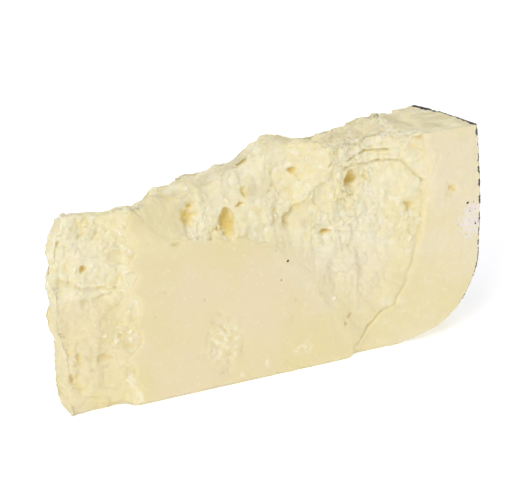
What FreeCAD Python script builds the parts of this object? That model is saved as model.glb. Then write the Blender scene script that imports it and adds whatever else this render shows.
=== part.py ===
"""Pecorino romano wedge: a hand-broken, knife-cut piece of a drum-shaped cheese, one solid.

The wedge is worked out as a cheesemonger makes it. A level slab of the wheel is cut by knife along a
front cut through the wheel's axis and a back cut. Then pieces are broken off it: the tip, the top, and
the upper parts of the front and the back. So the solid is the room between the knife cuts, common with
one break envelope, common with the wheel slab. Where the envelope lies outside the cuts, the flat
knife cut stays.

Frame: origin on the base, +X along the front cut from the tip to the rind, +Y from the front cut to
the back cut, +Z up. Inside this file the shapes stand in the wheel's frame, whose origin is where the
wheel's axis meets the base, and the finished wedge is moved at the end. Millimetres.
"""
import FreeCAD
import Part
import Sketcher
import math
import os

SHEET = "Sizes"

# alias, value in mm or degrees, what it is
SIZES = [
    ("wheel_radius", 147.5, "widest radius of the wheel"),
    ("barrel_radius", 315.0, "curvature of the wheel's bulging side, seen from the side"),
    ("rim_rounding", 30.0, "rounding of the wheel's lower rim"),
    ("slab_height", 77.0, "height of the slab of the wheel"),
    ("tip_thickness", 13.0, "thickness at the wheel's axis, where the tip broke off"),
    ("opening_angle", 9.65, "angle between the front cut and the back cut"),
    ("top_fall_angle", 8.0, "how steeply the top falls towards the back beside the rind"),
    ("shoulder_drop", 6.5, "how much of the top is broken away beside the tip"),
    ("tip_bulge", 4.8, "how far the broken tip stands out past the wheel's axis"),
    ("front_break_depth", 14.0, "deepest bite of the front break, at the top edge"),
    ("back_break_depth", 6.0, "deepest bite of the back break, at the top edge"),
    ("flake_depth", 2.2, "step down to the flake that came off beside the rind"),
    ("tip_band_width", 23.0, "width of the rough band beside the tip"),
    ("tip_band_depth", 1.3, "depth of that band below the front cut"),
    ("lump_size", 13.0, "size of the larger lumps of the broken paste"),
    ("lump_height", 2.4, "height of those lumps"),
    ("crumb_size", 6.5, "size of the smaller lumps"),
    ("crumb_height", 1.1, "height of the smaller lumps"),
    ("facet_size", 2.7, "edge of a facet of the broken faces"),
]

# Hollows torn out of the front: shares of the length and height, half width, half height, depth.
HOLLOWS = [
    (0.29, 0.79, 3.6, 4.6, 2.4),
    (0.38, 0.735, 3.2, 4.4, 2.8),
    (0.45, 0.87, 4.0, 3.0, 1.6),
    (0.69, 0.81, 3.6, 3.2, 2.2),
    (0.055, 0.74, 3.4, 3.0, 1.6),
    (0.1, 0.6, 4.5, 2.2, 1.4),
]

# How far the working solids run past the wedge, so that no two of their faces coincide.
SPARE = 8.0
# Where a knife cut is whole, the break envelope stands this far outside it.
CLEAR = 1.0
# No corner of a facet lies closer to a knife cut than this, or the common would leave slivers.
LEAST_GAP = 0.15


def smooth(value, low, high):
    """0 at low, 1 at high and a soft S between them."""
    share = min(1.0, max(0.0, (value - low) / (high - low)))
    return share * share * (3.0 - 2.0 * share)


def along(points, place):
    """The value at a place of a soft curve through (place, value) points."""
    if place <= points[0][0]:
        return points[0][1]
    for (p0, v0), (p1, v1) in zip(points, points[1:]):
        if place <= p1:
            return v0 + (v1 - v0) * smooth(place, p0, p1)
    return points[-1][1]


def clear_of(value):
    """The value, moved off zero when it lies within the least gap of it."""
    return math.copysign(max(abs(value), LEAST_GAP), value)


def scatter(i, j, k):
    """A fixed scattered number from 0 to 1 for each cell of a grid."""
    mixed = (i * 73856093) ^ (j * 19349663) ^ (k * 83492791)
    mixed = (mixed ^ (mixed >> 13)) * 1274126177 & 0xFFFFFFFF
    return ((mixed ^ (mixed >> 16)) & 0xFFFF) / 65535.0


def grains(x, y, seed):
    """Close-packed grains of size 1: 1 at the middle of a grain, 0 in the cracks between them."""
    nearest, second = 9.0, 9.0
    column, row = math.floor(x), math.floor(y)
    for i in (column - 1, column, column + 1):
        for j in (row - 1, row, row + 1):
            dx = i + 0.15 + 0.7 * scatter(i, j, seed) - x
            dy = j + 0.15 + 0.7 * scatter(i, j, seed + 1) - y
            gap = math.hypot(dx, dy)
            if gap < nearest:
                nearest, second = gap, nearest
            elif gap < second:
                second = gap
    return min(1.0, 1.6 * (second - nearest))


class Wedge:
    """The sizes of the wedge, read from the sheet, and the surfaces it was broken along.

    Places are given as s from the wheel's axis towards the rind, t behind the front cut and z above
    the base. The curves below run over shares of the length and the height.
    """

    def __init__(self, sheet):
        for alias, _value, _note in SIZES:
            setattr(self, alias, float(sheet.get(alias)))
        self.spread = math.tan(math.radians(self.opening_angle))
        self.fall = math.tan(math.radians(self.top_fall_angle))

    def back_cut(self, s):
        """Distance from the front cut to the back cut."""
        return self.tip_thickness + s * self.spread

    def lumps(self, x, y, seed):
        """Roughness of broken paste, from 0 on top of the lumps to the depth of the cracks."""
        big = self.lump_height * (1.0 - grains(x / self.lump_size, y / self.lump_size, seed))
        small = self.crumb_height * (1.0 - grains(x / self.crumb_size, y / self.crumb_size, seed + 7))
        return big + small

    def front_crest(self, s):
        """How far the top's front edge lies under the slab's top."""
        return self.shoulder_drop * along([
            (0.0, 0.85), (0.05, 0.95), (0.1, 1.15), (0.14, 0.95), (0.27, 1.25), (0.35, 1.1), (0.4, 0.8),
            (0.45, 0.3), (0.49, 0.0)], s / self.wheel_radius)

    def back_crest(self, s):
        """How far the top's back edge lies under the slab's top."""
        return self.shoulder_drop * along([
            (0.0, 1.45), (0.09, 1.85), (0.15, 2.0), (0.21, 1.4), (0.26, 1.1), (0.34, 1.05), (0.42, 0.9),
            (0.47, 0.45), (0.525, 0.0), (0.63, 0.35), (0.72, 0.2), (0.8, 0.0), (0.84, 0.5)],
            s / self.wheel_radius)

    def top(self, s, t):
        """Level of the top. It was cut beside the rind and broken everywhere else."""
        x = s / self.wheel_radius
        across = smooth(t / self.back_cut(s), 0.0, 1.0)
        broken = self.front_crest(s) + (self.back_crest(s) - self.front_crest(s)) * across
        broken += 0.4 * (self.lumps(s, t, 31) - 0.6 * self.lump_height)
        cut = 0.3 + max(0.0, t) * self.fall
        share = smooth(x, 0.8 + 0.04 * across, 0.86 + 0.02 * across)
        return self.slab_height - clear_of(broken + (cut - broken) * share)

    def front(self, s, z):
        """Depth of the front break behind the knife cut. It's less than 0 where the cut is whole."""
        x, h = s / self.wheel_radius, z / self.slab_height
        # The upper break starts along a line that runs down towards the rind and leans back from it.
        edge = along([(0.08, 1.0), (0.16, 0.86), (0.23, 0.72), (0.4, 0.67), (0.47, 0.62), (0.54, 0.5),
                      (0.63, 0.26), (0.7, 0.08), (0.76, -0.1)], x)
        crest = 1.0 - self.front_crest(s) / self.slab_height
        lean = along([(0.16, 0.0), (0.27, 0.27), (0.35, 0.55), (0.44, 0.9), (0.49, 1.0), (0.54, 0.95),
                      (0.585, 0.42), (0.625, 0.22), (0.68, 0.34), (0.74, 0.48), (0.81, 0.14)], x)
        share = min(1.2, max(0.0, h - edge) / max(0.1, crest - edge))
        upper = 0.4 + self.front_break_depth * lean * share ** 1.5 + 0.5 * self.lumps(s, z, 3)
        # A valley parts the two crests, and a furrow slants down from the right one.
        valley = math.exp(-(((x - 0.575 + 0.1 * (1.0 - h)) / 0.022) ** 2)) * smooth(h, 0.8, 1.0)
        furrow = math.exp(-(((h - 0.71 - 1.3 * (x - 0.575)) / 0.035) ** 2))
        furrow *= smooth(x, 0.51, 0.54) * (1.0 - smooth(x, 0.62, 0.65))
        upper += 3.2 * valley + 2.6 * furrow
        depth = -CLEAR + (upper + CLEAR) * smooth(h, edge - 0.02, edge + 0.035)
        # The flake beside the rind left a smooth scar under a slanting crack.
        crack = along([(-0.1, 0.66), (0.0, 0.675), (0.1, 0.71), (0.15, 0.74), (0.22, 0.79), (0.32, 0.825),
                       (0.57, 0.845), (0.8, 0.855), (1.0, 0.83)], h)
        scar = 0.5 + (self.flake_depth - 0.5) * (1.0 - smooth(x, crack, 0.99)) * (1.0 - smooth(h, 0.3, 0.75))
        depth += (scar - depth) * smooth(x, crack - 0.006, crack + 0.014)
        # The rough band beside the tip.
        ragged = self.tip_band_width / self.wheel_radius
        ragged += 0.03 * (grains(0.3, z / self.crumb_size / 1.6, 5) - 0.5)
        band = self.tip_band_depth + 0.55 * self.lumps(s, z, 17) - CLEAR * smooth(x, 0.6 * ragged, ragged)
        depth = max(depth, -CLEAR + (band + CLEAR) * (1.0 - smooth(x, ragged - 0.022, ragged + 0.006)))
        for place, level, wide, high, deep in HOLLOWS:
            far = math.hypot((s - place * self.wheel_radius) / wide, (z - level * self.slab_height) / high)
            depth += deep * (1.0 - smooth(far, 0.3, 1.3))
        return clear_of(depth)

    def back(self, s, z):
        """Depth of the back break behind the knife cut. It's less than 0 where the cut is whole."""
        x, h = s / self.wheel_radius, z / self.slab_height
        edge = along([(0.0, 0.3), (0.1, 0.12), (0.22, 0.4), (0.36, 0.74), (0.5, 0.78), (0.62, 0.55),
                      (0.74, 0.5), (0.84, 0.75), (0.93, 1.1)], x)
        lean = along([(0.0, 0.1), (0.2, 0.35), (0.4, 0.2), (0.55, 0.3), (0.68, 1.0), (0.78, 0.8),
                      (0.88, 0.1)], x)
        broken = 0.5 + self.back_break_depth * lean * smooth(h, edge, edge + 0.4) ** 1.3
        broken += 0.55 * self.lumps(s, z, 43)
        return clear_of(-CLEAR + (broken + CLEAR) * smooth(h, edge - 0.02, edge + 0.035))

    def tip(self, t, z):
        """Where the tip's broken end lies, along s."""
        h = z / self.slab_height
        bulge = self.tip_bulge * along([
            (0.0, 0.1), (0.2, 0.3), (0.28, 0.25), (0.36, 0.8), (0.45, 1.0), (0.58, 0.95), (0.66, 0.8),
            (0.72, 0.95), (0.78, 0.85), (0.88, 0.1)], h)
        rough = 0.35 * (self.lumps(t, z, 61) - 0.5 * self.lump_height)
        return -bulge * (0.75 + 0.25 * smooth(t, 0.0, self.tip_thickness)) + rough

    def envelope_point(self, u, v, w):
        """A point of the break envelope for shares u, v, w of its length, thickness and height."""
        s = u * (self.wheel_radius + SPARE)
        z = -SPARE + w * (self.top(s, v * self.back_cut(s)) + SPARE)
        s += self.tip(v * self.tip_thickness, z) * (1.0 - u) ** 6
        near, behind = self.front(s, z), self.back_cut(s) - self.back(s, z)
        return FreeCAD.Vector(s, near + v * (behind - near), z)


def new_sheet(doc):
    """The spreadsheet that holds every driving size."""
    sheet = doc.addObject("Spreadsheet::Sheet", SHEET)
    for row, (alias, value, note) in enumerate(SIZES, start=1):
        sheet.set(f"A{row}", note)
        sheet.set(f"B{row}", str(value))
        sheet.setAlias(f"B{row}", alias)
    doc.recompute()
    return sheet


def origin_plane(body, role):
    """One of a body's own origin planes."""
    return next(f for f in body.Origin.OriginFeatures if f.Role == role)


def new_sketch(body, name, role):
    """An empty sketch of a body on one of its origin planes."""
    sketch = body.newObject("Sketcher::SketchObject", name)
    sketch.AttachmentSupport = (origin_plane(body, role), [""])
    sketch.MapMode = "FlatFace"
    return sketch


def bind(sketch, index, name, formula):
    """Names a constraint and ties it to the sheet."""
    sketch.renameConstraint(index, name)
    sketch.setExpression(f"Constraints.{name}", formula)


def closed_outline(sketch, points):
    """Draws a closed outline of straight lines and returns the number of its first line."""
    corners = [FreeCAD.Vector(x, y, 0) for x, y in points]
    count = len(corners)
    first = sketch.GeometryCount
    for i in range(count):
        sketch.addGeometry(Part.LineSegment(corners[i], corners[(i + 1) % count]), False)
    for i in range(count):
        sketch.addConstraint(Sketcher.Constraint("Coincident", first + i, 2, first + (i + 1) % count, 1))
    return first


def wheel_slab(doc, wedge):
    """The slab of the wheel: flat base, rounded lower rim and bulging side, turned about the axis."""
    body = doc.addObject("PartDesign::Body", "WheelSlab")
    sketch = new_sketch(body, "WheelProfile", "YZ_Plane")
    radius, rim = wedge.wheel_radius, wedge.rim_rounding
    barrel = wedge.barrel_radius
    height = wedge.slab_height + SPARE
    swing = math.asin((height - rim) / barrel)
    shoulder = FreeCAD.Vector(radius - barrel + barrel * math.cos(swing), height, 0)
    up, out = FreeCAD.Vector(0, height, 0), FreeCAD.Vector(radius - rim, 0, 0)
    normal = FreeCAD.Vector(0, 0, 1)
    rim_arc = Part.Circle(FreeCAD.Vector(radius - rim, rim, 0), normal, rim)
    side_arc = Part.Circle(FreeCAD.Vector(radius - barrel, rim, 0), normal, barrel)
    base = sketch.addGeometry(Part.LineSegment(FreeCAD.Vector(0, 0, 0), out), False)
    round_ = sketch.addGeometry(Part.ArcOfCircle(rim_arc, -math.pi / 2, 0), False)
    side = sketch.addGeometry(Part.ArcOfCircle(side_arc, 0, swing), False)
    lid = sketch.addGeometry(Part.LineSegment(shoulder, up), False)
    axis = sketch.addGeometry(Part.LineSegment(up, FreeCAD.Vector(0, 0, 0)), False)
    sketch.addConstraint(Sketcher.Constraint("Coincident", base, 1, -1, 1))
    sketch.addConstraint(Sketcher.Constraint("Tangent", base, 2, round_, 1))
    sketch.addConstraint(Sketcher.Constraint("Tangent", round_, 2, side, 1))
    sketch.addConstraint(Sketcher.Constraint("Coincident", side, 2, lid, 1))
    sketch.addConstraint(Sketcher.Constraint("Coincident", lid, 2, axis, 1))
    sketch.addConstraint(Sketcher.Constraint("Coincident", axis, 2, base, 1))
    sketch.addConstraint(Sketcher.Constraint("Horizontal", base))
    sketch.addConstraint(Sketcher.Constraint("Horizontal", lid))
    sketch.addConstraint(Sketcher.Constraint("Vertical", axis))
    sketch.addConstraint(Sketcher.Constraint("Horizontal", side, 3, round_, 3))
    rounding = sketch.addConstraint(Sketcher.Constraint("Radius", round_, rim))
    bind(sketch, rounding, "RimRounding", f"{SHEET}.rim_rounding")
    bulge = sketch.addConstraint(Sketcher.Constraint("Radius", side, barrel))
    bind(sketch, bulge, "BarrelRadius", f"{SHEET}.barrel_radius")
    tall = sketch.addConstraint(Sketcher.Constraint("DistanceY", axis, 2, axis, 1, height))
    bind(sketch, tall, "Height", f"{SHEET}.slab_height + {SPARE}")
    wide = sketch.addConstraint(Sketcher.Constraint("DistanceX", base, 1, base, 2, radius - rim))
    bind(sketch, wide, "FlatRadius", f"{SHEET}.wheel_radius - {SHEET}.rim_rounding")
    turned = body.newObject("PartDesign::Revolution", "Turned")
    turned.Profile = sketch
    turned.ReferenceAxis = (sketch, ["V_Axis"])
    turned.Angle = 360.0
    doc.recompute()
    return body


def knife_cuts(doc, wedge):
    """The room between the front cut and the back cut."""
    body = doc.addObject("PartDesign::Body", "KnifeCuts")
    plan = new_sketch(body, "CutPlan", "XY_Plane")
    near, far = -2.0 * SPARE, wedge.wheel_radius + 2.0 * SPARE
    first = closed_outline(plan, [(near, 0), (far, 0), (far, wedge.back_cut(far)), (near, wedge.back_cut(near))])
    front, end, back, start = first, first + 1, first + 2, first + 3
    plan.addConstraint(Sketcher.Constraint("PointOnObject", front, 1, -1))
    plan.addConstraint(Sketcher.Constraint("Horizontal", front))
    plan.addConstraint(Sketcher.Constraint("Vertical", end))
    plan.addConstraint(Sketcher.Constraint("Vertical", start))
    left = plan.addConstraint(Sketcher.Constraint("DistanceX", front, 1, -1, 1, -near))
    bind(plan, left, "PastTip", f"{2.0 * SPARE}")
    right = plan.addConstraint(Sketcher.Constraint("DistanceX", -1, 1, front, 2, far))
    bind(plan, right, "PastRind", f"{SHEET}.wheel_radius + {2.0 * SPARE}")
    spread = f"tan({SHEET}.opening_angle * 1 deg)"
    thin = plan.addConstraint(Sketcher.Constraint("DistanceY", start, 2, start, 1, wedge.back_cut(near)))
    bind(plan, thin, "TipSide", f"{SHEET}.tip_thickness - {2.0 * SPARE} * {spread}")
    thick = plan.addConstraint(Sketcher.Constraint("DistanceY", end, 1, end, 2, wedge.back_cut(far)))
    bind(plan, thick, "RindSide",
         f"{SHEET}.tip_thickness + ({SHEET}.wheel_radius + {2.0 * SPARE}) * {spread}")
    block = body.newObject("PartDesign::Pad", "Block")
    block.Profile = plan
    block.SideType = "Two sides"
    block.setExpression("Length", f"{SHEET}.slab_height + {2.0 * SPARE}")
    block.Length2 = SPARE
    doc.recompute()
    return body


def facets(grid):
    """Two triangles for each cell of a grid of points, split along the cell's shorter diagonal."""
    for upper, lower in zip(grid, grid[1:]):
        for i in range(len(upper) - 1):
            a, b, c, d = upper[i], upper[i + 1], lower[i + 1], lower[i]
            if a.distanceToPoint(c) > b.distanceToPoint(d):
                a, b, c, d = b, c, d, a
            yield (a, b, c)
            yield (a, c, d)


def ring(points):
    """A flat face inside a closed ring of points."""
    return Part.Face(Part.makePolygon(points + points[:1]))


def break_envelope(doc, wedge):
    """The outside the wedge would have if all of it had been broken by hand, in flat facets."""
    length = wedge.wheel_radius + SPARE
    columns = round(length / wedge.facet_size)
    layers = round(wedge.back_cut(length) / wedge.facet_size)
    rows = round((wedge.slab_height + SPARE) / wedge.facet_size)
    point = {}

    def at(i, j, k):
        """The point of the envelope at column i, layer j and row k, made once."""
        if (i, j, k) not in point:
            point[i, j, k] = wedge.envelope_point(i / columns, j / layers, k / rows)
        return point[i, j, k]

    sides = [
        [[at(i, 0, k) for k in range(rows + 1)] for i in range(columns + 1)],
        [[at(i, layers, k) for i in range(columns + 1)] for k in range(rows + 1)],
        [[at(0, j, k) for j in range(layers + 1)] for k in range(rows + 1)],
        [[at(i, j, rows) for j in range(layers + 1)] for i in range(columns + 1)],
    ]
    faces = [Part.Face(Part.makePolygon([a, b, c, a])) for side in sides for a, b, c in facets(side)]
    floor = [at(i, 0, 0) for i in range(columns)] + [at(columns, j, 0) for j in range(layers)]
    floor += [at(i, layers, 0) for i in range(columns, 0, -1)] + [at(0, j, 0) for j in range(layers, 0, -1)]
    end = [at(columns, j, 0) for j in range(layers)] + [at(columns, layers, k) for k in range(rows)]
    end += [at(columns, j, rows) for j in range(layers, 0, -1)] + [at(columns, 0, k) for k in range(rows, 0, -1)]
    shell = Part.makeShell(faces + [ring(floor), ring(end)])
    shell.sewShape()
    solid = Part.makeSolid(shell)
    if solid.Volume < 0:
        solid.reverse()
    envelope = doc.addObject("Part::Feature", "BreakEnvelope")
    envelope.Shape = solid.removeSplitter()
    return envelope


def common(doc, name, base, tool):
    """The material that two objects share."""
    shared = doc.addObject("Part::Common", name)
    shared.Base = base
    shared.Tool = tool
    return shared


def check(doc, nodes):
    """Stops the build if a feature failed or a node isn't one sound solid."""
    for item in doc.Objects:
        if "Invalid" in item.State or "Error" in item.State:
            raise RuntimeError(f"{item.Name} failed: {item.State}")
    for node in nodes:
        shape = node.Shape
        if shape.isNull() or not shape.isValid() or len(shape.Solids) != 1:
            raise RuntimeError(f"{node.Label} isn't one sound solid")


def main():
    doc = FreeCAD.newDocument("PecorinoWedge")
    wedge = Wedge(new_sheet(doc))
    broken_block = common(doc, "BrokenBlock", knife_cuts(doc, wedge), break_envelope(doc, wedge))
    piece = common(doc, "Wedge", broken_block, wheel_slab(doc, wedge))
    piece.Label = "wedge"
    piece.setExpression("Placement.Base.x", f"-{SHEET}.wheel_radius / 2")
    piece.setExpression("Placement.Base.y",
                        f"-({SHEET}.tip_thickness + {SHEET}.wheel_radius * tan({SHEET}.opening_angle * 1 deg)) / 2")
    doc.recompute()
    check(doc, [piece])
    os.makedirs("parts", exist_ok=True)
    piece.Shape.exportStep(os.path.join("parts", f"{piece.Label}.step"))
    box = piece.Shape.optimalBoundingBox(False)
    print(f"wedge: {box.XLength:.1f} x {box.YLength:.1f} x {box.ZLength:.1f} mm,",
          f"{piece.Shape.Volume / 1000:.0f} cm3, {len(piece.Shape.Faces)} faces,",
          f"x {box.XMin:.1f} to {box.XMax:.1f}, y {box.YMin:.1f} to {box.YMax:.1f}, z {box.ZMin:.2f}")


main()
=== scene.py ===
# %% [markdown]
# # A broken wedge of black-rinded sheep's cheese
#
# The model behind this scene is one solid: a wedge of a drum-shaped cheese, cut on two sides by knife
# and broken along its tip, its top and the upper parts of its sides. It already has the right
# size and the large forms. This file gives it the surface of real cheese: paste that breaks into
# grains, a satin skin where the knife went through, hollows, and a pitted black coat on the rind.

# %% Load the frame
import math

import bmesh
import bpy
import numpy as np
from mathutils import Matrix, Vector


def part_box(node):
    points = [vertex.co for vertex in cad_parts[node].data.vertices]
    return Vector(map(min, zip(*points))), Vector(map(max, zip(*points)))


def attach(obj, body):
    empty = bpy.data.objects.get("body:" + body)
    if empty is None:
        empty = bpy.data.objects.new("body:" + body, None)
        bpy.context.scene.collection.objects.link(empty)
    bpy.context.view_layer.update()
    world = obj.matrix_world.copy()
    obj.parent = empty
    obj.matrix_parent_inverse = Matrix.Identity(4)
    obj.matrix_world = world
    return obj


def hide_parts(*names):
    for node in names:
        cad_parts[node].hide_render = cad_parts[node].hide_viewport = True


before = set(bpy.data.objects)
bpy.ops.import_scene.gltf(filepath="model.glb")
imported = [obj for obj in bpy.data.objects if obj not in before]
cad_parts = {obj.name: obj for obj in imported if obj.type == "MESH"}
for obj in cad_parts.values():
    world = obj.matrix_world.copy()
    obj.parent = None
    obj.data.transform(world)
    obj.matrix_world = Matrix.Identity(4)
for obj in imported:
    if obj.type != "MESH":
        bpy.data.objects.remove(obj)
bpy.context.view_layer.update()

MM = 0.001

# %% [markdown]
# ## Where things are
#
# Every part of the wedge is easiest to name in the wheel's own terms: how far a point lies from the
# wheel's axis towards the rind (s), how far behind the front cut (t), and how high above the base (z).
# The wedge's box gives where the axis and the front cut are.

# %% The wheel's sizes, in millimetres
WHEEL_RADIUS = 147.5
BARREL_RADIUS = 315.0
RIM_ROUNDING = 30.0
TIP_THICKNESS = 13.0
WEDGE_ANGLE = 9.65
SPREAD = math.tan(math.radians(WEDGE_ANGLE))

low, high = (np.array(corner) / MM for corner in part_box("wedge"))
AXIS = np.array([high[0] - WHEEL_RADIUS, low[1], 0.0])
print("the wheel's axis stands at", AXIS.round(2), "mm")


def in_wheel(points):
    """Columns s, t and z, in millimetres, of points in metres."""
    return (points / MM - AXIS).T


# %% [markdown]
# ## Patterns made of numbers
#
# Broken cheese is rough in a way of its own: rounded grains with cracks between them, the same at
# several sizes. Two kinds of pattern make all of it. Clouds vary softly from place to place. Cells
# split space into grains: each point knows its nearest and second nearest grain, so the cracks are
# where both are equally near. Both come from a fixed scattering of numbers over a grid, so they are
# the same on every run.

# %% Clouds and cells
def scattered(i, j, k, seed):
    """A fixed number from 0 to 1 for each cell of a grid."""
    mixed = (i * 73856093) ^ (j * 19349663) ^ (k * 83492791) ^ (seed * 2654435761)
    mixed = ((mixed ^ (mixed >> 15)) * 2246822519) & 0xFFFFFFFF
    mixed = ((mixed ^ (mixed >> 13)) * 3266489917) & 0xFFFFFFFF
    return ((mixed ^ (mixed >> 16)) & 0xFFFFFF) / 0xFFFFFF


def clouds(place, size, seed):
    """Soft noise from -1 to 1 with blobs of a size in millimetres."""
    scaled = [axis / size for axis in place]
    corner = [np.floor(axis).astype(np.int64) for axis in scaled]
    share = [(axis - base) ** 2 * (3 - 2 * (axis - base)) for axis, base in zip(scaled, corner)]
    total = 0.0
    for step in np.ndindex(2, 2, 2):
        weight = 1.0
        for part, one in zip(share, step):
            weight = weight * (part if one else 1 - part)
        total = total + weight * scattered(*(base + one for base, one in zip(corner, step)), seed)
    return 2 * total - 1


def layered_clouds(place, size, seed, layers=3):
    """Clouds with finer clouds on them, each layer half the size and half the strength."""
    return sum(clouds(place, size / 2 ** n, seed + n) / 2 ** n for n in range(layers)) / 1.6


def cells(place, size, seed):
    """Distances to the nearest and second nearest grain, in grain sizes, and the nearest's number."""
    scaled = [axis / size for axis in place]
    corner = [np.floor(axis).astype(np.int64) for axis in scaled]
    nearest = np.full(len(scaled[0]), 9.0)
    second = nearest.copy()
    number = np.zeros_like(nearest)
    for step in np.ndindex(3, 3, 3):
        cell = [base + one - 1 for base, one in zip(corner, step)]
        gap = sum((c + 0.1 + 0.8 * scattered(*cell, seed + n) - axis) ** 2
                  for n, (c, axis) in enumerate(zip(cell, scaled)))
        closer = gap < nearest
        second = np.where(closer, nearest, np.minimum(second, gap))
        number = np.where(closer, scattered(*cell, seed + 5), number)
        nearest = np.where(closer, gap, nearest)
    return np.sqrt(nearest), np.sqrt(second), number


def soft_step(value, start, end):
    """0 before start, 1 after end and a soft S between them."""
    share = np.clip((value - start) / (end - start), 0, 1)
    return share * share * (3 - 2 * share)


sample = clouds(tuple(np.mgrid[0:20, 0:20, 0:20].reshape(3, -1)), 3.0, 1)
print("a sample of clouds goes from %.2f to %.2f" % (sample.min(), sample.max()))

# %% [markdown]
# ## The blank
#
# The CAD mesh is made of loose triangles of uneven size, too coarse for grains of a millimetre or two.
# Sculptors meet the same problem with a rough blank and solve it with a voxel remesh, which lays an
# even net of small squares over any closed shape. The doubles are merged first, so that the shape is
# closed.

# %% Lay an even net over the wedge
NET = 0.42 * MM


def new_object(name, mesh):
    """An object of its own for a mesh, in the scene."""
    thing = bpy.data.objects.new(name, mesh)
    bpy.context.scene.collection.objects.link(thing)
    return thing


def settle_modifiers(thing):
    """Makes what the modifiers show the object's own mesh."""
    seen = thing.evaluated_get(bpy.context.evaluated_depsgraph_get())
    finished = bpy.data.meshes.new_from_object(seen)
    thing.modifiers.clear()
    thing.data = finished


def net_copy(node, name):
    """A merged copy of a CAD node's mesh under an even net."""
    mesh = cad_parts[node].data.copy()
    mesh.materials.clear()
    blank = bmesh.new()
    blank.from_mesh(mesh)
    bmesh.ops.remove_doubles(blank, verts=blank.verts, dist=0.001 * MM)
    blank.to_mesh(mesh)
    blank.free()
    thing = new_object(name, mesh)
    remesh = thing.modifiers.new("even net", "REMESH")
    remesh.mode = "VOXEL"
    remesh.voxel_size = NET
    remesh.use_smooth_shade = True
    settle_modifiers(thing)
    return thing


cheese = net_copy("wedge", "cheese")
print("net:", len(cheese.data.vertices), "points")

# %% Read and write a mesh's points as arrays
def read(collection, name, width):
    """One property of every element, as an array."""
    kind = np.int32 if name == "vertices" else np.float32
    flat = np.empty(len(collection) * width, kind)
    collection.foreach_get(name, flat)
    return flat.reshape(-1, width) if width > 1 else flat


def write_points(mesh, points):
    """Moves every point of a mesh."""
    mesh.vertices.foreach_set("co", points.astype(np.float32).ravel())
    mesh.update()


points = read(cheese.data.vertices, "co", 3).astype(float)
edges = read(cheese.data.edges, "vertices", 2)
normals = read(cheese.data.vertices, "normal", 3).astype(float)
s, t, z = in_wheel(points)
print("points read:", len(points), "edges read:", len(edges))

# %% [markdown]
# ## What is cut, what is broken and what is rind
#
# A point belongs to a knife cut where it lies in the plane of that cut, and to the rind where it lies
# on the wheel's bulging side. Everything else was broken. Each of these is a share from 0 to 1, so
# that the relief of one fades into the next.

# %% Shares of cut, rind and broken paste
def under_rind(s, t, z):
    """How deep points lie under the wheel's outer side."""
    out = np.hypot(s, t)
    side = WHEEL_RADIUS - BARREL_RADIUS + np.sqrt(BARREL_RADIUS ** 2 - (z - RIM_ROUNDING) ** 2) - out
    core = WHEEL_RADIUS - RIM_ROUNDING
    rim = RIM_ROUNDING - np.hypot(np.maximum(out - core, 0), z - RIM_ROUNDING)
    return np.where(z > RIM_ROUNDING, side, rim)


def shares(s, t, z, normals):
    """Shares of front cut, back cut, base and rind."""
    behind = TIP_THICKNESS + s * SPREAD - t
    front = soft_step(-t, -0.25, -0.05) * (normals[:, 1] < -0.8)
    back = soft_step(-behind, -0.25, -0.05) * (normals[:, 1] > 0.8)
    base = soft_step(-z, -0.3, -0.05)
    outward = (normals[:, 0] * s + normals[:, 1] * t) / np.hypot(s, t)
    rind = soft_step(-under_rind(s, t, z), -0.6, -0.2) * soft_step(outward, 0.3, 0.5) * soft_step(s, 90, 110)
    return front, back, base, rind


front_cut, back_cut, base, rind = shares(s, t, z, normals)
cut = np.maximum(front_cut, back_cut)
print("shares of the surface: cut %.2f, base %.2f, rind %.2f" % (cut.mean(), base.mean(), rind.mean()))

# %% [markdown]
# ## Rounding the facets off
#
# The blank's broken faces still show the flat facets they were worked out in. A few rounds of
# averaging each point with its neighbours melt them. The knife cuts and the rind keep their places.

# %% Average the broken points with their neighbours
def averaged(values, rounds, share):
    """Values moved towards the mean of their neighbours, by a share of its own for each point."""
    a, b = edges.T
    count = np.bincount(a, minlength=len(values)) + np.bincount(b, minlength=len(values))
    for _ in range(rounds):
        mean = np.stack([
            (np.bincount(a, column[b], len(column)) + np.bincount(b, column[a], len(column))) / count
            for column in values.T], axis=1)
        values = values + share[:, None] * (mean - values)
    return values


MELT_ROUNDS = 14
MELT_SHARE = 0.6
broken = 1 - np.maximum.reduce([cut, base, rind])
points = averaged(points, MELT_ROUNDS, MELT_SHARE * broken)
print("broken share of the surface: %.2f" % broken.mean())

# %% [markdown]
# ## Where the break fades into the cut
#
# In two places the break doesn't end at an edge: it fades into the cut, as if it had been rubbed down.
# One is around the upper left end of the cut, the other along the slanting edge that runs down
# towards the rind. There the points on both sides of the edge are averaged, for longer.

# %% Rub the edge down
# Places along the front and up, in millimetres.
RUBBED_EDGE = [(73, 46), (84, 33), (92, 20), (101, 7)]
RUBBED_CORNER = (33, 60)
CORNER_REACH = 9
RUB_ROUNDS = 80
RUB_SHARE = 0.8


def from_line(line):
    """How far each point lies, on the front, from a line through places along and up."""
    nearest = np.full(len(s), 99.0)
    for (s0, z0), (s1, z1) in zip(line, line[1:]):
        ds, dz = s1 - s0, z1 - z0
        share = np.clip(((s - s0) * ds + (z - z0) * dz) / (ds * ds + dz * dz), 0, 1)
        nearest = np.minimum(nearest, np.hypot(s - s0 - share * ds, z - z0 - share * dz))
    return nearest


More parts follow.
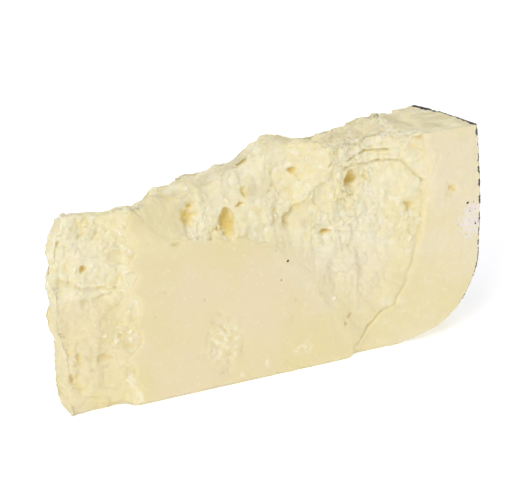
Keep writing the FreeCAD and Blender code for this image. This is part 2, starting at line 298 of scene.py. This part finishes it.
corner_s, corner_z = RUBBED_CORNER
upper_left = np.exp(-((s - corner_s) / CORNER_REACH) ** 2 - ((z - corner_z) / CORNER_REACH) ** 2)
along_edge = soft_step(-from_line(RUBBED_EDGE), -7, -2)
rubbed = np.maximum(soft_step(upper_left, 0.1, 0.6), along_edge) * soft_step(-t, -9, -5)
points = averaged(points, RUB_ROUNDS, RUB_SHARE * rubbed * (1 - base))
write_points(cheese.data, points)
normals = read(cheese.data.vertices, "normal", 3).astype(float)
s, t, z = in_wheel(points)
print("rubbed share of the surface: %.2f" % rubbed.mean())

# %% [markdown]
# ## How rough each place is
#
# Beside the rind a flake came away and left a smooth scar, bounded by a slanting crack, and the top
# there was cut. Elsewhere the paste broke grain by grain.

# %% Roughness from place to place
# Level, and place along the front, in millimetres.
CRACK = [(-8, 97.5), (0, 100), (5, 103), (8, 106), (13, 110.5), (15.5, 116.5), (22, 120), (31, 122.5),
         (44, 124.5), (62, 126), (77, 122.5)]
CRACK_LEVELS, CRACK_PLACES = np.array(CRACK).T
# How much smoother than a fresh break each kind of place is.
SCAR_SMOOTH, TOP_SMOOTH, RUBBED_SMOOTH, LOW_SMOOTH = 0.85, 0.6, 0.65, 0.4
RUBBED_GRAIN = 0.25


def crack_place(z):
    """How far along the front the crack lies at each level."""
    return np.interp(z, CRACK_LEVELS, CRACK_PLACES)


wander = 0.8 * layered_clouds((s, t, z), 6, 11)
past_crack = s - crack_place(z) + wander
facing_front = soft_step(-normals[:, 1], 0.35, 0.6) * (t < 16)
scar = soft_step(past_crack, 0.0, 1.2) * facing_front
top_cut = soft_step(normals[:, 2], 0.75, 0.9) * soft_step(s + wander, 120, 125) * (z > 60)
calm = soft_step(-z, -46, -30) * soft_step(s, 60, 75) * facing_front
rough = broken * (1 - SCAR_SMOOTH * scar) * (1 - TOP_SMOOTH * top_cut)
rough = rough * (1 - RUBBED_SMOOTH * rubbed) * (1 - LOW_SMOOTH * calm)
rough = rough + RUBBED_GRAIN * rubbed * cut
print("mean roughness of the broken surface: %.2f" % (rough.sum() / broken.sum()))

# %% [markdown]
# ## The relief of broken paste
#
# Hard cheese is pressed from curds. It breaks around them and through them, so a broken face is a
# field of rounded lumps of several sizes with creases between them, and small loose grains where it
# crumbled. Clouds folded at their middle value make such lumps: each fold is a crease.

# %% Lumps with creases between them, and grains
def lumpy(place, size, seed, layers):
    """Depth from 0 on top of rounded lumps to 1 in the creases, with smaller lumps on the lumps."""
    weights = [0.55 ** n for n in range(layers)]
    folds = [(1 - np.abs(clouds(place, size / 2 ** n, seed + n))) ** 3 for n in range(layers)]
    return sum(weight * fold for weight, fold in zip(weights, folds)) / sum(weights)


def warped(place, reach, size, seed):
    """Places shifted by clouds, so that a pattern looked up there loses its regular look."""
    return [axis + reach * clouds(place, size, seed + n) for n, axis in enumerate(place)]


def grainy(place, size, seed):
    """Depth from 0 to 1 of a relief of loose grains."""
    nearest, second, number = cells(warped(place, 0.25 * size, 0.8 * size, seed + 1), size, seed)
    between = 1 - np.clip(1.7 * (second - nearest), 0, 1)
    return 0.4 * between ** 2 + 0.4 * number + 0.2 * nearest


# Sizes in millimetres.
LUMP, SMALL_LUMP = 11, 3.4
GRAIN, SMALL_GRAIN = 2.1, 1.3

place = (s, t, z)
crumbly = soft_step(layered_clouds(place, 15, 41), -0.5, 0.5)
crumbly = np.maximum(crumbly, soft_step(-np.hypot((s - 96) / 14, (z - 52) / 14), -1.4, -0.4))
low_tip = soft_step(-s, -24, -19) * soft_step(-z, -42, -34)
crumbly = crumbly * (1 - 0.7 * low_tip)
big_creases = lumpy(place, LUMP, 101, 3)
small_creases = lumpy(place, SMALL_LUMP, 111, 2)
grains = grainy(place, GRAIN, 121)
small_grains = grainy(place, SMALL_GRAIN, 131)
relief = 2.0 * big_creases + (0.35 + 0.65 * crumbly) * small_creases
relief = relief + (0.2 + 0.65 * crumbly) * grains + (0.15 + 0.3 * crumbly) * small_grains
crease = soft_step(0.45 * big_creases + 0.4 * small_creases + 0.35 * grains, 0.5, 1.0)
print("relief of a full break: %.1f mm on average, %.1f mm at most" % (relief.mean(), relief.max()))

# %% [markdown]
# ## Hollows, cracks and the furrow
#
# Curds that didn't knit leave hollows. The larger ones on the front and on the rough band beside the
# tip have a place, a half width, a half height and a depth each. Cracks follow lines.

# %% Hollows on the front and the tip band
# Place along the front, level, half width, half height and depth, in millimetres.
HOLLOWS = [
    (43, 60.5, 2.6, 3.6, 1.8), (56, 56.5, 2.2, 3.6, 2.4), (61.5, 61.5, 1.0, 1.0, 1.4),
    (64, 65, 1.2, 1.4, 1.5), (65, 73, 2.0, 1.6, 1.2), (66.5, 76.5, 1.2, 1.8, 1.0),
    (81.5, 67.5, 1.5, 1.2, 1.6), (92.5, 69.5, 1.0, 0.8, 1.0), (99.5, 66, 1.3, 0.9, 1.0),
    (101, 62, 1.9, 1.8, 2.2), (107, 61.5, 1.6, 0.7, 1.1), (91, 46, 2.0, 1.0, 1.8),
    (121, 50, 1.1, 1.5, 1.5), (135.5, 54.5, 1.6, 2.2, 1.3), (99.5, 15.5, 1.0, 0.8, 1.1),
    (97.5, 13, 1.0, 0.8, 1.0), (37, 54, 1.8, 0.9, 0.9), (79, 52.5, 2.0, 1.8, 1.4),
    (7.5, 49.5, 1.6, 1.3, 1.7), (8, 63.5, 3.4, 3.6, 0.9), (-1, 60, 2.2, 1.1, 1.0),
    (4, 18, 1.6, 3.4, 1.0), (13, 17.5, 1.8, 1.6, 1.0), (2, 12.5, 1.0, 1.6, 1.0),
]
# A hollow this deep, in millimetres, gets the full painted shade of a hollow.
FULL_SHADE_DEPTH = 1.8
# How much painted shade each point gets: the warm yellow that stands for shade and for light through the
# paste in hollows, cracks and the lip beside the scar.
hollow_shade = np.zeros(len(s))
hollow_depth = np.zeros(len(s))
shift_s = 0.7 * clouds(place, 2.3, 51) + 0.5 * clouds(place, 1.0, 52)
shift_z = 0.7 * clouds(place, 2.3, 53) + 0.5 * clouds(place, 1.0, 54)
for s0, z0, wide, tall, deep in HOLLOWS:
    reach = min(wide, tall)
    across = (s + reach * shift_s - s0) / wide
    upright = (z + reach * shift_z - z0) / tall
    inside = soft_step(-np.hypot(across, upright), -1.3, -0.2) * facing_front
    hollow_depth += deep * inside
    hollow_shade = np.maximum(hollow_shade, inside * min(1.0, deep / FULL_SHADE_DEPTH))
print("hollows:", len(HOLLOWS), "deepest: %.1f mm" % hollow_depth.max())

# %% Cracks along lines
# Each line's points along the front and up, its half width and its depth, in millimetres.
LINES = [
    ([(100, 68.5), (103, 70), (107, 71), (114, 70)], 0.8, 1.3),
    ([(98.5, 66), (107.5, 66), (113, 66.5), (118.5, 65.5), (122.5, 62.5), (125.5, 58.5)], 0.8, 1.1),
    ([(91, 61.5), (84, 56.5), (79, 52.5)], 2.2, 1.0),
    ([(-4.5, 52), (0, 47.5), (6.5, 44), (12.5, 42), (18, 42)], 1.5, 0.9),
    ([(130, 67.5), (128, 60.5)], 0.9, 0.35),
]
faint = soft_step(clouds(place, 4.0, 62), -0.7, 0.1) * facing_front
for line, wide, deep in LINES:
    wavy = from_line(line) + 0.35 * wide * clouds(place, 1.8, 61)
    inside = soft_step(-wavy, -wide, 0.0) * faint
    hollow_depth += deep * inside
    hollow_shade = np.maximum(hollow_shade, 0.5 * inside * min(1.0, deep))
lip = soft_step(-np.abs(past_crack - 0.4), -1.3, 0.0) * facing_front * soft_step(-z, -66, -46)
lip = lip * soft_step(clouds(place, 5.0, 65), -0.9, 0.3)
hollow_depth += 0.7 * lip
hollow_shade = np.maximum(hollow_shade, 0.35 * lip)
print("cracks: %d, and the one beside the scar" % len(LINES))

# %% [markdown]
# ## The rind
#
# The coat lies on a crust full of small wrinkles and holes. The holes are wider than they are high,
# so the pattern is looked up in a space that is squashed from top to bottom.

# %% Relief of the rind
HOLE_SQUASH = 1.9
WRINKLE_SQUASH = 1.6
HOLE_SPACING = 3.6
PIT_DEPTH = 0.6

flattened = (s, t, z * HOLE_SQUASH)
nearest, _, number = cells(warped(flattened, 0.5, 2.0, 71), HOLE_SPACING, 72)
pits = soft_step(-nearest, -0.33, -0.12) * (number > 0.45)
swell = layered_clouds(place, 9, 75)
wrinkles = layered_clouds((s, t, z * WRINKLE_SQUASH), 2.2, 77)
rind_relief = 0.35 + 0.3 * swell + 0.16 * wrinkles + PIT_DEPTH * pits
print("pitted share of the rind: %.2f" % ((pits * rind).sum() / rind.sum()))

# %% [markdown]
# ## Knife cuts
#
# A knife leaves hard cheese nearly flat. Here and there it plucked out a grain, and its edges
# crumbled.

# %% Relief of the cuts, and crumbled edges
# Place along the front, level, half width and half height, in millimetres.
CRUMBLED_PATCH = (53.0, 16.0, 9.0, 12.0)

nearest, _, number = cells(place, 2.6, 81)
plucked = soft_step(-nearest, -0.3, -0.1) * (number > 0.86)
s0, z0, wide, tall = CRUMBLED_PATCH
from_patch = np.hypot((s - s0) / wide, (z - z0) / tall) + 0.3 * clouds(place, 3, 84)
patch = soft_step(-from_patch, -1.1, -0.6) * facing_front
mottled = 0.9 * patch * grainy(place, 2.2, 85) * soft_step(clouds(place, 2.5, 86), -0.3, 0.4)
cut_relief = 0.04 + 0.05 * clouds(place, 5, 83) + 0.45 * plucked + mottled

beside_cut = soft_step(averaged(np.maximum(cut, rind)[:, None], 8, np.ones(len(cut)))[:, 0], 0.0, 0.3)
beside_break = averaged(broken[:, None], 22, np.ones(len(broken)))[:, 0]
crumbled_edge = cut * soft_step(beside_break, 0.02, 0.5) * (0.15 + 0.9 * grainy(place, 2.4, 141))
crumbled_edge = crumbled_edge * (1 - 0.8 * rubbed)
# The foot of the sides is worn in, up to 1.4 mm above the base.
foot_depth = 0.55 * (0.5 + layered_clouds(place, 2.4, 87)) + 0.25
foot = soft_step(-z, -1.4, -0.2) * (1 - base)
print("plucked share of the cuts: %.3f" % ((plucked * cut).sum() / cut.sum()))

# %% [markdown]
# ## Loose crumbs
#
# Crumbs stayed where they fell: a few anywhere on the broken faces, many on the ledge beside the tip,
# and heaps in some corners. Each is a small dome inside a cell of its own, and it stands up from the
# relief instead of being cut into it.

# %% Loose crumbs that stayed on the broken faces
# Place along the front, level, half width and half height, in millimetres.
CRUMB_HEAPS = [(18.5, 58, 3, 6), (13.5, 49.5, 6, 3), (21.5, 5.5, 3, 6), (19.5, 25, 2.5, 5), (6, 45, 5, 2)]
LEDGE = 20.5
nearest, _, number = cells(warped(place, 0.5, 1.3, 155), 2.0, 151)
ledge = soft_step(-np.abs(s - LEDGE + 2.5 * clouds(place, 9, 152)), -3.0, -1.0) * facing_front
heaps = sum(soft_step(-np.hypot((s - s0) / wide, (z - z0) / tall), -1.3, -0.5)
            for s0, z0, wide, tall in CRUMB_HEAPS) * facing_front
crumb_share = ((0.04 + 0.04 * crumbly) + 0.35 * ledge + 0.6 * np.minimum(heaps, 1)) * rough
crumb_size = np.maximum(0.32 + 0.25 * clouds(place, 3, 158), 0.15)
crumb = np.sqrt(np.clip(1 - (nearest / crumb_size) ** 2, 0, 1)) * (number > 1 - crumb_share)
print("share of the points that lie on a crumb: %.3f" % (crumb > 0).mean())

# %% [markdown]
# ## Carving
#
# Every relief so far is a depth under the skin, and a crumb takes some of it back. The depths are
# added up, each by the share of the surface that it belongs to, and each point moves in by the sum,
# against its normal. The base stays flat, but the sides draw its outline in with them, so that no
# thin lip is left.

# %% Carve
CRUMB_HEIGHT = 0.65
OUTLINE_ROUNDS = 60
scar_relief = 0.15 + 0.12 * clouds(place, 5, 89) + 0.2 * small_creases
depth = rough * relief + (broken - rough) * scar_relief + hollow_depth
depth = depth + cut * cut_relief + crumbled_edge + rind * rind_relief + foot * foot_depth
depth = depth - CRUMB_HEIGHT * crumb * (1 - beside_cut)
depth = depth * (1 - base)
inward = averaged(-normals * depth[:, None], OUTLINE_ROUNDS, base)
inward[:, 2] *= 1 - base
# Nothing leaves the wedge's own box.
points = np.clip(points + inward * MM, *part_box("wedge"))
write_points(cheese.data, points)
print("deepest relief: %.1f mm" % depth.max())

# %% [markdown]
# ## Fewer triangles where the surface is flat
#
# The net is as fine on the flat cuts as on the grains. Collapsing first the edges that shape the
# surface least keeps the grains and frees the flats.

# %% Store what the materials need, then thin the net
TRIANGLES = 190000


def store(mesh, name, values):
    """One number for each point, for a material to read."""
    layer = mesh.attributes.new(name, "FLOAT", "POINT")
    layer.data.foreach_set("value", values.astype(np.float32))


# Painted shade in hollows, cracks and the creases between lumps.
store(cheese.data, "hollow_shade", np.clip(np.maximum(hollow_shade, 0.6 * crease * rough), 0, 1))
smeared = np.maximum.reduce([cut, 0.6 * scar, 0.75 * low_tip, 0.45 * calm])
smeared = smeared + (0.6 - smeared) * rubbed
# Faces that look up get painted shade, a greyer colour for the top that lies in less light.
up_facing_shade = soft_step(normals[:, 2], 0.4, 0.8) * soft_step(z, 30, 45)
soft = averaged(np.stack([smeared, up_facing_shade], axis=1), 8, np.ones(len(cut)))
store(cheese.data, "knife", soft[:, 0])
store(cheese.data, "top_shade", soft[:, 1])
store(cheese.data, "crumb", crumb)
# Painted shade in the coat's holes.
store(cheese.data, "pit_shade", pits * rind)
store(cheese.data, "coated", rind)
thin = cheese.modifiers.new("thin", "DECIMATE")
thin.ratio = min(1.0, TRIANGLES / (2 * len(cheese.data.polygons)))
thin.use_collapse_triangulate = True
settle_modifiers(cheese)


def keep_largest_island(mesh):
    """Deletes stray bits, so that one closed skin is left, and returns the points in each island."""
    made = bmesh.new()
    made.from_mesh(mesh)
    unseen, islands = set(made.verts), []
    while unseen:
        island = [unseen.pop()]
        for vert in island:
            fresh = unseen.intersection(edge.other_vert(vert) for edge in vert.link_edges)
            unseen -= fresh
            island.extend(fresh)
        islands.append(island)
    islands.sort(key=len)
    for island in islands[:-1]:
        bmesh.ops.delete(made, geom=island, context="VERTS")
    made.to_mesh(mesh)
    made.free()
    return [len(island) for island in islands]


print("points in each island:", keep_largest_island(cheese.data))
s, t, z = in_wheel(read(cheese.data.vertices, "co", 3).astype(float))
store(cheese.data, "under_rind", under_rind(s, t, z))
print("triangles:", len(cheese.data.polygons), "attributes:", [a.name for a in cheese.data.attributes])

# %% [markdown]
# ## Paste and painted coat
#
# The real surface is two things: pressed sheep's-milk paste, pale, dense and a little waxy, and the
# dark coat that was rubbed over the crust while the wheel ripened. They could be two materials on
# separate faces, but then the border would follow the edges of triangles. One material that asks each
# point how deep it lies under the wheel's side gives a ragged border of any fineness, and where a cut
# crosses the coat it shows as a thin dark line.

# %% Colours
def linear(colour):
    """A colour written as sRGB hex, in the linear values that shaders use."""
    parts = [int(colour[n:n + 2], 16) / 255 for n in (1, 3, 5)]
    return [part / 12.92 if part <= 0.04045 else ((part + 0.055) / 1.055) ** 2.4 for part in parts] + [1.0]


CUT_PASTE, CUT_YELLOWER = linear("#E8DAB6"), linear("#E6D9A9")
BROKEN_PASTE, BROKEN_YELLOWER = linear("#F0E8CA"), linear("#ECE2B8")
# The yellow of hollows on the next line is painted shade, for the shade in hollows and creases and the light
# through the paste there.
PALE_GRAIN, HOLLOW_SHADE_COLOUR = linear("#F6F0DA"), linear("#EFD886")
# The greyer colour for faces that look up, on the next line, is painted shade for the top lying in less
# light.
TOP_SHADE_COLOUR, MOULD = linear("#D5C9A4"), linear("#EFE6DE")
COAT, COAT_BLOOM = linear("#38373E"), linear("#74737C")
# The darkest colour on the next line is the colour of the coat's flakes and, as painted shade, of its holes.
COAT_FLAKE_AND_PIT_SHADE, COAT_SCUFF = linear("#19181C"), linear("#BDBAB8")
print("cut paste in linear values:", [round(part, 3) for part in CUT_PASTE])

# %% One helper that adds a node
def add(tree, kind, inputs=(), output=0, **settings):
    """Adds a node with its settings, gives each input its value or link, and returns one output."""
    node = tree.nodes.new("ShaderNode" + kind)
    for name, value in settings.items():
        setattr(node, name, value)
    for name, value in inputs.items() if isinstance(inputs, dict) else enumerate(inputs):
        if isinstance(value, bpy.types.NodeSocket):
            tree.links.new(value, node.inputs[name])
        else:
            node.inputs[name].default_value = value
    return node.outputs[output]


# Settings that many nodes share: a soft S between two values, and a mix of two colours.
SOFT = {"interpolation_type": "SMOOTHSTEP"}
OVER = {"data_type": "RGBA", "output": 2}
print("settings shared by many nodes:", SOFT, OVER)

# %% Start the material: sheep's-milk paste, pressed, cut and broken, under a painted coat
skin = bpy.data.materials.new("pressed sheep's-milk paste under a painted coat")
skin.use_nodes = True
tree = skin.node_tree
shader = tree.nodes["Principled BSDF"]
where = add(tree, "TexCoord", output="Object")
behind, height = (add(tree, "SeparateXYZ", [where], output=axis) for axis in "YZ")
squeezed = add(tree, "VectorMath", [where, (1.0, 1.0, HOLE_SQUASH)], operation="MULTIPLY")
stored = {name: add(tree, "Attribute", output="Fac", attribute_name=name)
          for name in ("knife", "hollow_shade", "crumb", "top_shade", "pit_shade", "coated", "under_rind")}
print("attributes read:", list(stored))

# %% Clouds of real sizes
# name: size in millimetres, how many finer layers, and the coordinates they are laid out in
CLOUDS = {
    "ripening": (26.0, 2.0, where),
    "blotches": (6.0, 4.0, where),
    "curds": (2.6, 5.0, where),
    "crystals": (1.4, 3.0, where),
    "dust": (1.2, 4.0, where),
    "edge chips": (2.4, 3.0, where),
    "edge ripple": (1.1, 2.0, where),
    "edge wander": (5.0, 1.0, where),
    "brush tide": (13.0, 2.0, where),
    "bloom patches": (17.0, 2.0, squeezed),
    "bloom": (3.2, 6.0, squeezed),
    "scuffs": (1.6, 4.0, squeezed),
    "wrinkles": (1.5, 4.0, squeezed),
    "grit": (0.55, 4.0, where),
    "fine grit": (0.2, 2.0, where),
}
cloud = {name: add(tree, "TexNoise", {"Vector": grid, "Scale": 1 / (size * MM), "Detail": layers})
         for name, (size, layers, grid) in CLOUDS.items()}
print("clouds:", len(cloud))

# %% [markdown]
# ## Colour of the paste
#
# Paste isn't one colour. It ripened unevenly over a few centimetres, it is paler and chalkier where
# it broke than where the knife smeared it, and single crystals and crumbs are nearly white. Two more
# colours are painted shade: hollows and creases get a deep warm yellow for the shade in them and the
# light that reaches them through the paste, and faces that look up get a mottled greyer colour for the
# top lying in less light. Each of these is laid over the last with a share of its own, as a painter
# glazes: a mix node takes the share, the colour so far and the colour that goes over it.

# %% Lay the paste's colours over each other
ripe = add(tree, "MapRange", [cloud["ripening"], 0.35, 0.65], **SOFT)
curds = add(tree, "MapRange", [cloud["curds"], 0.5, 0.72, 0.0, 0.8], **SOFT)
crystals = add(tree, "MapRange", [cloud["crystals"], 0.6, 0.72, 0.0, 0.3], **SOFT)
# Painted shade: hollows and creases take the warm yellow of shade and of light that reaches them through the
# paste.
deep = add(tree, "MapRange", [stored["hollow_shade"], 0.1, 0.95, 0.0, 0.85], **SOFT)
crumbs = add(tree, "MapRange", [stored["crumb"], 0.1, 0.6, 0.0, 0.7], **SOFT)
blotches = add(tree, "MapRange", [cloud["blotches"], 0.35, 0.65, 0.1, 0.8], **SOFT)
# Painted shade on faces that look up, mottled by the blotches.
top_shade = add(tree, "Math", [stored["top_shade"], blotches], operation="MULTIPLY")

cut_colour, paste = CUT_PASTE, BROKEN_PASTE
for share, colour in ((ripe, CUT_YELLOWER), (crystals, PALE_GRAIN)):
    cut_colour = add(tree, "Mix", {0: share, 6: cut_colour, 7: colour}, **OVER)
for share, colour in ((ripe, BROKEN_YELLOWER), (curds, PALE_GRAIN), (stored["knife"], cut_colour),
                      (top_shade, TOP_SHADE_COLOUR), (deep, HOLLOW_SHADE_COLOUR), (crumbs, PALE_GRAIN)):
    paste = add(tree, "Mix", {0: share, 6: paste, 7: colour}, **OVER)
print("nodes so far:", len(tree.nodes))

# %% [markdown]
# ## Mould and specks
#
# A pale bloom of mould sits on the front cut beside the rind, dotted with flakes of the coat. A few
# single flakes lie on the cut too, and crumbled patches and pale crumbs lie near the base. Each is an
# oval around a place, with its border shaken by clouds.

# %% Ovals on the front: place along and up, half width and half height in millimetres
# An oval reaches this far behind the front cut, in millimetres.
OVAL_DEPTH = 9.0
OVALS = {
    "crumbled patch": [CRUMBLED_PATCH, (81.0, 7.5, 5.5, 3.0)],
    "pale crumbs": [(68, 5.5, 0.9, 2.2), (59, 3, 1.2, 0.9), (23.5, 3, 1.4, 2.4), (21, 9, 1.2, 2.6)],
    "mould": [(144.0, 42.0, 5.0, 7.0)],
    "flaked area": [(144.0, 43.0, 6.0, 11.0)],
    "single flakes": [(75.5, 40.5, 0.5, 0.4), (142, 48.5, 0.6, 0.5), (73, 34.5, 0.35, 0.3)],
}
shaken = add(tree, "MapRange", [cloud["crystals"], 0.3, 0.7, -0.4, 0.4])
in_oval = {}
for name, ovals in OVALS.items():
    for s0, z0, wide, tall in ovals:
        size = np.array([wide, OVAL_DEPTH, tall]) * MM
        shift = -(AXIS + [s0, 0.0, z0]) * MM / size
        local = add(tree, "VectorMath", [where, 1 / size, shift], operation="MULTIPLY_ADD")
        away = add(tree, "VectorMath", [local], output="Value", operation="LENGTH")
        rim = add(tree, "Math", [away, shaken], operation="ADD")
        oval = add(tree, "MapRange", [rim, 0.7, 1.0, 1.0, 0.0], **SOFT)
        in_oval[name] = add(tree, "Math", [oval, in_oval.get(name, 0.0)], operation="MAXIMUM")

dusty = add(tree, "MapRange", [cloud["dust"], 0.38, 0.54, 0.25, 1.0], **SOFT)
powder = add(tree, "MapRange", [cloud["crystals"], 0.44, 0.62, 0.0, 0.5], **SOFT)
powdered = add(tree, "Math", [in_oval["crumbled patch"], powder], operation="MULTIPLY")
mould = add(tree, "Math", [in_oval["mould"], dusty], operation="MULTIPLY")
dotted = add(tree, "MapRange", [cloud["dust"], 0.66, 0.69], **SOFT)
flaked = add(tree, "Math", [in_oval["flaked area"], dotted], operation="MULTIPLY")
flakes = add(tree, "Math", [flaked, in_oval["single flakes"]], operation="MAXIMUM")
pale = add(tree, "Math", [in_oval["pale crumbs"], 0.5], operation="MULTIPLY")
for share, colour in ((powdered, PALE_GRAIN), (pale, PALE_GRAIN), (mould, MOULD), (flakes, COAT_FLAKE_AND_PIT_SHADE)):
    paste = add(tree, "Mix", {0: share, 6: paste, 7: colour}, **OVER)
print("ovals:", sum(len(ovals) for ovals in OVALS.values()))

# %% [markdown]
# ## Where the coat lies
#
# The coat is a skin about three quarters of a millimetre thick. Its inner side wanders, it has
# chipped along the front cut, and near the base it ends in an uneven tide line, below which the
# crust was left bare.

# %% Share of the surface that is coat
# In millimetres.
COAT_THICKNESS = 0.75
COAT_FADE = 0.25
TIDE_LEVEL = 13.0
TIDE_FADE = 0.6
CHIPPED_WIDTH = 3.5

ripple = add(tree, "MapRange", [cloud["edge ripple"], 0.0, 1.0, -0.8, 0.8])
drift = add(tree, "MapRange", [cloud["edge wander"], 0.0, 1.0, -0.5, 0.5])
front_edge = [(AXIS[1] + 0.2) * MM, (AXIS[1] + CHIPPED_WIDTH) * MM]
near_front = add(tree, "MapRange", [behind, *front_edge, 1.6, 0.0], **SOFT)
chips = add(tree, "MapRange", [cloud["edge chips"], 0.47, 0.58], **SOFT)
chipped = add(tree, "Math", [chips, near_front], operation="MULTIPLY")
under = add(tree, "Math", [stored["under_rind"], stored["coated"]], operation="SUBTRACT")
for wear in (ripple, drift, chipped):
    under = add(tree, "Math", [under, wear], operation="ADD")
in_coat = add(tree, "MapRange", [under, COAT_THICKNESS, COAT_THICKNESS + COAT_FADE, 1.0, 0.0], **SOFT)

tide = add(tree, "MapRange", [cloud["brush tide"], 0.0, 1.0, -6.0 * MM, 6.0 * MM])
small_tide = add(tree, "MapRange", [cloud["edge ripple"], 0.0, 1.0, -1.5 * MM, 1.5 * MM])
level = height
for rise in (tide, small_tide):
    level = add(tree, "Math", [level, rise], operation="ADD")
tide_line = [(TIDE_LEVEL - TIDE_FADE) * MM, (TIDE_LEVEL + TIDE_FADE) * MM]
above = add(tree, "MapRange", [level, *tide_line], **SOFT)
coat = add(tree, "Math", [in_coat, above], operation="MULTIPLY")
print("nodes so far:", len(tree.nodes))

# %% [markdown]
# ## Colour of the coat
#
# The coat is charcoal, not black: handling left grey smears on it in patches, its holes are painted
# darker as shade, and here and there it is scuffed to the pale crust.

# %% Smears, pits and scuffs
patches = add(tree, "MapRange", [cloud["bloom patches"], 0.42, 0.62, 0.25, 1.0], **SOFT)
smears = add(tree, "MapRange", [cloud["bloom"], 0.42, 0.74], **SOFT)
bloom = add(tree, "Math", [smears, patches], operation="MULTIPLY")
flecks = add(tree, "MapRange", [cloud["scuffs"], 0.62, 0.7, 0.0, 0.75], **SOFT)
scuffs = add(tree, "Math", [flecks, patches], operation="MULTIPLY")
coat_colour = COAT
# The coat's holes get the darkest colour as painted shade.
for share, colour in ((bloom, COAT_BLOOM), (stored["pit_shade"], COAT_FLAKE_AND_PIT_SHADE), (scuffs, COAT_SCUFF)):
    coat_colour = add(tree, "Mix", {0: share, 6: coat_colour, 7: colour}, **OVER)
surface = add(tree, "Mix", {0: coat, 6: paste, 7: coat_colour}, **OVER)
tree.links.new(surface, shader.inputs["Base Color"])
print("nodes in the material:", len(tree.nodes))

# %% [markdown]
# ## Gloss, glow and grit
#
# A knife smears the fat of the paste into a satin, and a break is matt. The coat is a satin too, and
# matt where it is smeared grey. Light sinks a millimetre or two into cheese and comes out warmer,
# which is what makes it look soft.

# %% Roughness, light inside the paste, and bumps too fine for the mesh
paste_roughness = add(tree, "MapRange", [stored["knife"], 0.0, 1.0, 0.74, 0.52])
coat_roughness = add(tree, "MapRange", [bloom, 0.0, 1.0, 0.5, 0.75])
roughness = add(tree, "Mix", {0: coat, 2: paste_roughness, 3: coat_roughness})
tree.links.new(roughness, shader.inputs["Roughness"])
shader.inputs["Subsurface Weight"].default_value = 0.35
shader.inputs["Subsurface Radius"].default_value = (1.0, 0.75, 0.3)
shader.inputs["Subsurface Scale"].default_value = 1.6 * MM
shader.inputs["IOR"].default_value = 1.45
shader.inputs["Specular IOR Level"].default_value = 0.35

finer = add(tree, "Math", [cloud["fine grit"], 0.4], operation="MULTIPLY")
grit = add(tree, "Math", [cloud["grit"], finer], operation="ADD")
folds = add(tree, "Math", [cloud["wrinkles"], 2.2], operation="MULTIPLY")
grain = add(tree, "Mix", {0: coat, 2: grit, 3: folds})
strength = add(tree, "MapRange", [stored["knife"], 0.0, 1.0, 0.55, 0.2])
bump = {"Height": grain, "Strength": strength, "Distance": 0.22 * MM}
tree.links.new(add(tree, "Bump", bump), shader.inputs["Normal"])
print("nodes in the finished material:", len(tree.nodes))

# %% [markdown]
# ## Take the wedge's place
#
# The finished mesh stands for the CAD solid, which stays hidden for collision, and moves with it.

# %% Put the cheese in the CAD wedge's place
cheese.data.materials.clear()
cheese.data.materials.append(skin)
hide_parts("wedge")
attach(cheese, "root")
print("the cheese has", len(cheese.data.polygons), "triangles")

# %% [markdown]
# ## Floor
#
# The wedge lies on a wide white card. The card glows a little, so that it stays white under a soft
# light that is only just strong enough for the cheese, with a faint shadow where the wedge stands.

# %% A wide white card
ground = bmesh.new()
bmesh.ops.create_grid(ground, x_segments=1, y_segments=1, size=3.0)
card_mesh = bpy.data.meshes.new("white card")
ground.to_mesh(card_mesh)
ground.free()
floor = new_object("white card", card_mesh)

card = bpy.data.materials.new("matt white card")
card.use_nodes = True
card_shader = card.node_tree.nodes["Principled BSDF"]
card_shader.inputs["Base Color"].default_value = linear("#F0F0F3")
card_shader.inputs["Roughness"].default_value = 0.9
card_shader.inputs["Emission Color"].default_value = linear("#FFFFFF")
card_shader.inputs["Emission Strength"].default_value = 0.35
floor.data.materials.append(card)
print("the card's corners in m:", [tuple(corner.co.xy) for corner in card_mesh.vertices])

# %% [markdown]
# ## Camera
#
# A long lens from a little above and to the left of the front cut keeps the wedge's edges nearly
# parallel. Directions are given as angles round the wedge and up from the ground, for the lights too.

# %% Aim the camera
TARGET = Vector((-0.001, 0.0, 0.038))
CAMERA_LEFT = 24.8
CAMERA_UP = 25.2
CAMERA_DISTANCE = 0.631


def aim(thing, left, up, distance):
    """Stands a thing in a direction, in degrees left of the front and up, and turns it to the wedge."""
    turn, rise = math.radians(left), math.radians(up)
    flat = math.cos(rise)
    away = Vector((-math.sin(turn) * flat, -math.cos(turn) * flat, math.sin(rise)))
    thing.location = TARGET + away * distance
    thing.rotation_euler = away.to_track_quat("Z", "Y").to_euler()
    bpy.context.scene.collection.objects.link(thing)


camera = bpy.data.objects.new("camera", bpy.data.cameras.new("camera"))
aim(camera, CAMERA_LEFT, CAMERA_UP, CAMERA_DISTANCE)
camera.data.lens = 135
camera.data.sensor_width = 36
camera.data.clip_start = 0.01
bpy.context.scene.camera = camera
print("camera at", [round(part, 3) for part in camera.location])

# %% [markdown]
# ## Light
#
# The strongest box, from the left, models the grains. A weak one from the right fills their shadows,
# one overhead lights the top, and one behind keeps the back cut from going dull.

# %% Four soft boxes and a white room
# name: degrees left of the front, degrees up, distance and side in metres, power in watts
SOFTBOXES = {
    "key": (52, 36, 2.0, 0.9, 15),
    "fill": (-35, 22, 2.2, 1.3, 3.5),
    "overhead": (0, 85, 1.6, 1.5, 10),
    "back": (180, 32, 2.2, 1.5, 9),
}
for name, (left, up, distance, size, power) in SOFTBOXES.items():
    box = bpy.data.lights.new(name, "AREA")
    box.shape = "SQUARE"
    box.size = size
    box.energy = power
    aim(bpy.data.objects.new(name, box), left, up, distance)

room = bpy.data.worlds.new("white room")
room.use_nodes = True
room.node_tree.nodes["Background"].inputs["Color"].default_value = (1.0, 1.0, 1.0, 1.0)
room.node_tree.nodes["Background"].inputs["Strength"].default_value = 0.33
bpy.context.scene.world = room
bpy.context.scene.view_settings.view_transform = "Standard"
print("soft boxes:", ", ".join(SOFTBOXES))
